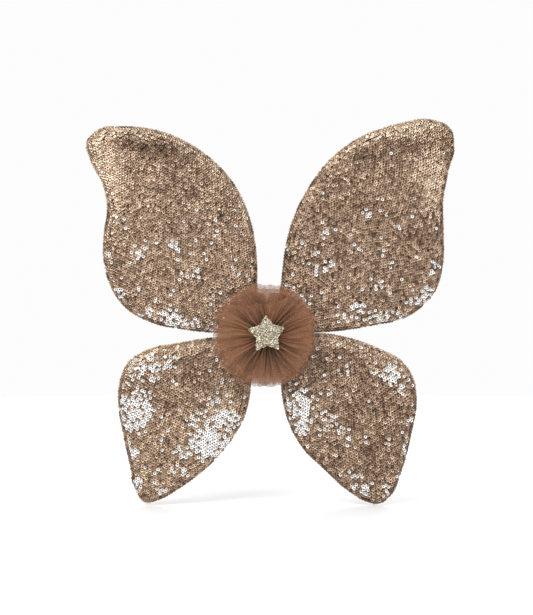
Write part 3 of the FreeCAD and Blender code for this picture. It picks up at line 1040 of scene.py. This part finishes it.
def tulle_layer(layer, seed, material):
    """One gathered strip of net: pleats that pinch at the eye and open to the rim."""
    _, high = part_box("rosette_" + layer + "_tulle")
    eye_y = high.y - 1.0 * MM
    folds = FOLDS[layer]
    verts, shade, cover = [], [], []
    offset = Vector((seed * 3.7, seed * 1.3, 0))
    for i in range(TULLE_RINGS + 1):
        share = (i / TULLE_RINGS) ** 0.9
        for j in range(TULLE_STEPS):
            angle = 2 * math.pi * j / TULLE_STEPS
            around = Vector((math.cos(angle), math.sin(angle), 0))
            wander = noise.noise(around * 1.7 + offset)
            bend = noise.noise(around * 3.0 + offset + Vector((0, 0, 1.6 * share)))
            phase = folds * angle + 3.0 * wander + 1.2 * bend
            crossing = (1 - 0.75 * share) * 1.5 / folds
            turned = angle + crossing * math.sin(phase) + 0.12 * bend * share
            ragged = 0.014 * noise.noise(around * 9 + offset * 2) + 0.012 * math.sin(phase * 2.3)
            reach = rim_radius(layer, angle) * (1 + ragged)
            rho = EYE_RADIUS + (reach - EYE_RADIUS) * share
            deep = fold_depth(angle + 0.10 * bend, share)
            fine = FINE_PLEAT * (1 - share) ** 0.6 * math.sin(3 * folds * angle + 2 * wander)
            wide = (0.5 + 1.0 * share) * MM * math.cos(phase + 0.4)
            soft = 0.9 * MM * share * noise.noise(around * 1.1 + offset * 3)
            y = eye_y - DISH_SLOPE * (rho - EYE_RADIUS) + fine + wide + soft + 0.8 * MM * deep * share ** 0.3
            verts.append(Vector((rho * math.cos(turned), y, rho * math.sin(turned))))
            streak = noise.noise(around * 26 + offset + Vector((0, 0, 2.5 * share)))
            pleat = 0.5 + 0.5 * math.sin(3 * folds * angle + 2 * wander + 2 * bend)
            sector = noise.noise(around * 1.9 + offset * 5)
            # Painted shade: darker in the deep folds and in the valleys of the fine pleats near the eye,
            # plus noise streaks and sectors, and a paler rim.
            pleated = (0.22 + 0.3 * wander) * (1 - share) * pleat
            pale_rim = 0.3 * share ** 6
            shade.append(0.8 * deep + pleated + 0.4 * streak + 0.5 * sector - pale_rim)
            cover.append(min(1, 0.95 - 1.05 * share ** 1.4 + 0.5 * deep + 0.3 * streak))
    faces = quad_grid(TULLE_RINGS + 1, TULLE_STEPS)
    piece = new_piece(layer + "_tulle_layer", verts, faces, material, smooth=True)
    set_point_attribute(piece, "shade", shade)
    set_point_attribute(piece, "cover", cover)
    return piece


def build_rosette(materials):
    for index, layer in enumerate(("rear", "middle", "front")):
        piece = tulle_layer(layer, index + 1, materials["tulle"])
        declare(piece, "centre", "brown_tulle", "rosette_" + layer + "_tulle")
    build_knot(materials)


def build_knot(materials):
    """Gathered eye of the net, wound with thread."""
    low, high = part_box("rosette_knot")
    radius = (high.x - low.x) / 2
    verts = []
    rings, sides = 10, 72
    for i in range(rings + 1):
        share = i / rings
        y = high.y + (low.y - high.y) * share
        waist = 1 - 0.12 * math.sin(math.pi * share)
        for k in range(sides):
            angle = 2 * math.pi * k / sides
            flute = 1 + 0.05 * math.sin(18 * angle + 2 * share)
            r = radius * waist * flute * 0.95
            verts.append(Vector((r * math.cos(angle), y, r * math.sin(angle))))
    faces = quad_grid(rings + 1, sides, "capped")
    wound = 0.93 * radius
    turns = []
    for angle in np.linspace(0, 5 * 2 * math.pi, 160):
        y = high.y - (0.0018 + 0.0006 * angle / (2 * math.pi))
        turns.append((wound * math.cos(angle), y, wound * math.sin(angle)))
    body = merged([(verts, faces), tube_along(turns, 0.25 * MM, 5)])
    knot = new_piece("rosette_gathered_eye", *body, materials["thread"], smooth=True)
    declare(knot, "centre", "brown_thread", "rosette_knot")


# ----------------------------------------------------------------------- star

def softened_copy(node, name, voxel, material, smoothing):
    """A soft copy of a CAD piece: remeshed and smoothed."""
    mesh = NODES[node].data.copy()
    mesh.name = name
    mesh.materials.clear()
    mesh.materials.append(material)
    piece = bpy.data.objects.new(name, mesh)
    bpy.context.scene.collection.objects.link(piece)
    remesh = piece.modifiers.new("remesh", "REMESH")
    remesh.mode = "VOXEL"
    remesh.voxel_size = voxel
    remesh.use_smooth_shade = True
    smooth = piece.modifiers.new("smooth", "SMOOTH")
    smooth.factor = 0.5
    smooth.iterations = smoothing
    return apply_modifiers(piece)


def build_star(materials):
    face = softened_copy("star_glitter_face", "star_glitter_sheet", 0.3 * MM, materials["glitter"], 8)
    rng = np.random.default_rng(77)
    set_point_attribute(face, "tone", 0.35 + 0.12 * rng.standard_normal(len(face.data.vertices)))
    declare(face, "centre", "gold_glitter", "star_glitter_face")
    add_flakes(face, rng, materials["flake"])


# CAD piece, its soft copy, material, slot, voxel size and unevenness.
SOFT_PARTS = [
    ("star_foam_core", "star_foam", "foam", "white_foam", 0.35 * MM, 0.06 * MM),
    ("star_felt_back", "star_backing", "felt", "brown_felt", 0.35 * MM, 0.06 * MM),
    ("back_patch", "felt_patch", "felt", "brown_felt", 0.35 * MM, 0.1 * MM),
    ("centre_spine", "felt_spine", "felt", "brown_felt", 0.45 * MM, 0.1 * MM),
    ("rosette_base", "felt_base", "felt", "brown_felt", 0.4 * MM, 0.1 * MM),
]


def build_soft_parts(materials):
    for node, name, material, slot, voxel, roughen in SOFT_PARTS:
        piece = softened_copy(node, name, voxel, materials[material], 4)
        push_out(piece, 0, roughen, 900)
        declare(piece, "centre", slot, node)


FLAKE_COUNT = 1900
FLAKE_RADIUS = 0.66 * MM
FLAKE_TILT = 0.28


def add_flakes(face, rng, material):
    """Hexagonal glitter flakes set in the star's face at small random tilts."""
    low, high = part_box("star_glitter_face")
    surface = BVHTree.FromObject(face, bpy.context.evaluated_depsgraph_get())
    centres, normals = [], []
    while len(centres) < FLAKE_COUNT:
        x, z = rng.uniform(low.x, high.x), rng.uniform(low.z, high.z)
        place, normal, _, _ = surface.ray_cast(Vector((x, low.y - 0.01, z)), Vector((0, 1, 0)))
        if place is not None:
            centres.append(place + normal * 0.12 * MM)
            normals.append(normal)
    centres = np.array(centres)
    normals = np.array(normals) + FLAKE_TILT * rng.standard_normal((len(normals), 3))
    hexagon = FLAKE_RADIUS * np.array([(c, s, 0) for c, s in circle(6)])
    verts = np.einsum("nij,kj->nki", facing(normals, rng), hexagon) + centres[:, None]
    faces = np.arange(len(centres) * 6).reshape(-1, 6)
    flakes = new_piece("star_glitter_flakes", verts.reshape(-1, 3), faces, material)
    tones = np.clip(0.50 + 0.45 * rng.standard_normal(len(centres)), 0, 1)
    set_point_attribute(flakes, "tone", np.repeat(tones, 6))
    declare(flakes, "centre", "gold_glitter")


# ------------------------------------------------------ spine, patch and straps

STRAP_WIDTH = 9.5 * MM
STRAP_THICKNESS = 1.2 * MM
STRAP_LEAN = 8.0
STRAP_PIVOT = (5.35 * MM, -0.8 * MM)
STRAP_COLUMNS = 29
STRAP_RIBS = 7
RIB_HEIGHT = 0.16 * MM
# Loop from the patch's top edge to its bottom edge, in mm: distance back and
# height, with the direction of travel.
STRAP_ROUTE = [
    ((-0.8, 26), (0, 1)),
    ((22, 46), (1, 0)),
    ((62, 39), (1, -0.3)),
    ((94, -2), (-0.05, -1)),
    ((64, -41), (-1, -0.25)),
    ((24, -47), (-1, 0.05)),
    ((-0.8, -26), (0, 1)),
]


def strap_line(step):
    """Points (distance back, height) along a smooth line through the route."""
    line = []
    for (start, out), (end, back) in zip(STRAP_ROUTE, STRAP_ROUTE[1:]):
        p0, p1 = Vector(start), Vector(end)
        chord = (p1 - p0).length * 1.1
        m0, m1 = Vector(out).normalized() * chord, Vector(back).normalized() * chord
        pieces = int((p1 - p0).length * 1.15 * MM / step)
        for k in range(pieces):
            t = k / pieces
            point = (
                p0 * (2 * t**3 - 3 * t**2 + 1) + m0 * (t**3 - 2 * t**2 + t)
                + p1 * (3 * t**2 - 2 * t**3) + m1 * (t**3 - t**2)
            )
            line.append(point * MM)
    line.append(Vector(STRAP_ROUTE[-1][0]) * MM)
    return line


def build_strap(side_name, side, materials):
    """Ribbed woven elastic, made along its loop."""
    line = strap_line(0.8 * MM)
    verts, run_values, faces = [], [], []
    run = 0.0
    for i, point in enumerate(line):
        ahead = line[min(i + 1, len(line) - 1)] - line[max(i - 1, 0)]
        normal = Vector((-ahead[1], ahead[0])).normalized()
        run += (point - line[i - 1]).length if i else 0
        for face_side in (1, -1):
            for k in range(STRAP_COLUMNS):
                share = k / (STRAP_COLUMNS - 1)
                rib = RIB_HEIGHT * abs(math.sin(math.pi * STRAP_RIBS * share))
                edge = min(1, 6 * min(share, 1 - share) + 0.35)
                thick = (STRAP_THICKNESS / 2 - RIB_HEIGHT + rib) * edge
                thick += 0.05 * MM * math.sin(run / (0.45 * MM) + k)
                x = side * STRAP_PIVOT[0] + (share - 0.5) * STRAP_WIDTH
                offset = point + normal * thick * face_side
                verts.append(Vector((x, offset[0], offset[1])))
                run_values.append(run)
    ring = 2 * STRAP_COLUMNS
    order = list(range(STRAP_COLUMNS)) + list(range(2 * STRAP_COLUMNS - 1, STRAP_COLUMNS - 1, -1))
    for start in range(0, (len(line) - 1) * ring, ring):
        for a, b in zip(order, order[1:] + order[:1]):
            faces.append((start + a, start + b, start + ring + b, start + ring + a))
    faces.append(tuple(reversed(order)))
    last = (len(line) - 1) * ring
    faces.append(tuple(last + k for k in order))
    turn = Matrix.Rotation(math.radians(-side * STRAP_LEAN), 4, "Z")
    pivot = Vector((side * STRAP_PIVOT[0], STRAP_PIVOT[1], 0))
    verts = [turn @ (v - pivot) + pivot for v in verts]
    strap = new_piece(side_name + "_elastic_loop", verts, faces, materials["elastic"], smooth=True)
    set_point_attribute(strap, "run", run_values)
    declare(strap, side_name + "_strap", "brown_elastic", side_name + "_arm_strap")


def build_bar_tacks(materials):
    """Zigzag bars of thread that hold the straps' ends."""
    low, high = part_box("strap_bar_tacks")
    tack_z = (high.z + abs(low.z)) / 2 - 0.9 * MM
    parts = []
    for side in (-1, 1):
        for end in (-1, 1):
            points = []
            for k in range(30):
                x = side * STRAP_PIVOT[0] + (k / 29 - 0.5) * 7.6 * MM
                z = end * tack_z + (0.75 * MM if k % 2 else -0.75 * MM)
                points.append((x, high.y + 0.02 * MM, z))
            parts.append(tube_along(points, 0.2 * MM, 5))
    tacks = new_piece("bar_tack_threads", *merged(parts), materials["thread"], smooth=True)
    declare(tacks, "centre", "brown_thread", "strap_bar_tacks")


def build_patch_stitches(materials):
    """Running stitches round the patch's edge."""
    low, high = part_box("back_patch")
    border = []
    inset = 1.6 * MM
    corners = [
        (low.x + inset, low.z + inset), (high.x - inset, low.z + inset),
        (high.x - inset, high.z - inset), (low.x + inset, high.z - inset),
    ]
    line = even_loop(np.array(corners), 2.6 * MM)
    for (x, z), (ax, az) in zip(line, np.roll(line, -1, axis=0)):
        start, end = Vector((x, high.y, z)), Vector((ax, high.y, az))
        gap = (end - start) * 0.16
        middle = (start + end) / 2 + Vector((0, 0.25 * MM, 0))
        border.append(tube_along([start + gap, middle, end - gap], 0.2 * MM, 5))
    stitches = new_piece("patch_stitches", *merged(border), materials["thread"], smooth=True)
    declare(stitches, "centre", "brown_thread")


def dress_cad_nodes(materials):
    """Better materials for the CAD pieces that stay as they are."""
    for side_name in ("left", "right"):
        for node, material in (("wire_frame", "wire"), ("wire_crimp", "crimp")):
            slots = NODES[side_name + "_" + node].material_slots
            for slot in slots:
                slot.material = materials[material]


def make_materials():
    return {
        "sequin": sequin_material(),
        "ground": woven_material("sequin_ground_net", (0.045, 0.028, 0.020), 700.0, 0.35, 0.9, 0.0),
        "lining": woven_material("brown_lining", (0.120, 0.062, 0.036), 420.0, 0.4, 0.6, 0.08),
        "wadding": wadding_material(),
        "felt": felt_material("brown_felt", (0.12, 0.07, 0.045)),
        "tulle": tulle_material("brown_tulle", (0.180, 0.078, 0.0355)),
        "thread": thread_material("brown_thread", (0.10, 0.055, 0.035)),
        "glitter": glitter_material("gold_glitter_sheet", 0.4),
        "flake": glitter_material("gold_glitter_flake", 0.8),
        "foam": foam_material(),
        "wire": wire_material(),
        "crimp": crimp_material(),
        "elastic": elastic_material(),
    }


# ----------------------------------------------------------------------- make

bpy.context.scene.view_settings.view_transform = "Standard"
add_camera()
add_world()
add_lights()
add_floor()
materials = make_materials()
for number, lobe in enumerate(LOBES):
    build_lobe(lobe, materials, 100 + number)
build_rosette(materials)
build_star(materials)
build_soft_parts(materials)
build_patch_stitches(materials)
build_bar_tacks(materials)
build_strap("left", -1, materials)
build_strap("right", 1, materials)
dress_cad_nodes(materials)
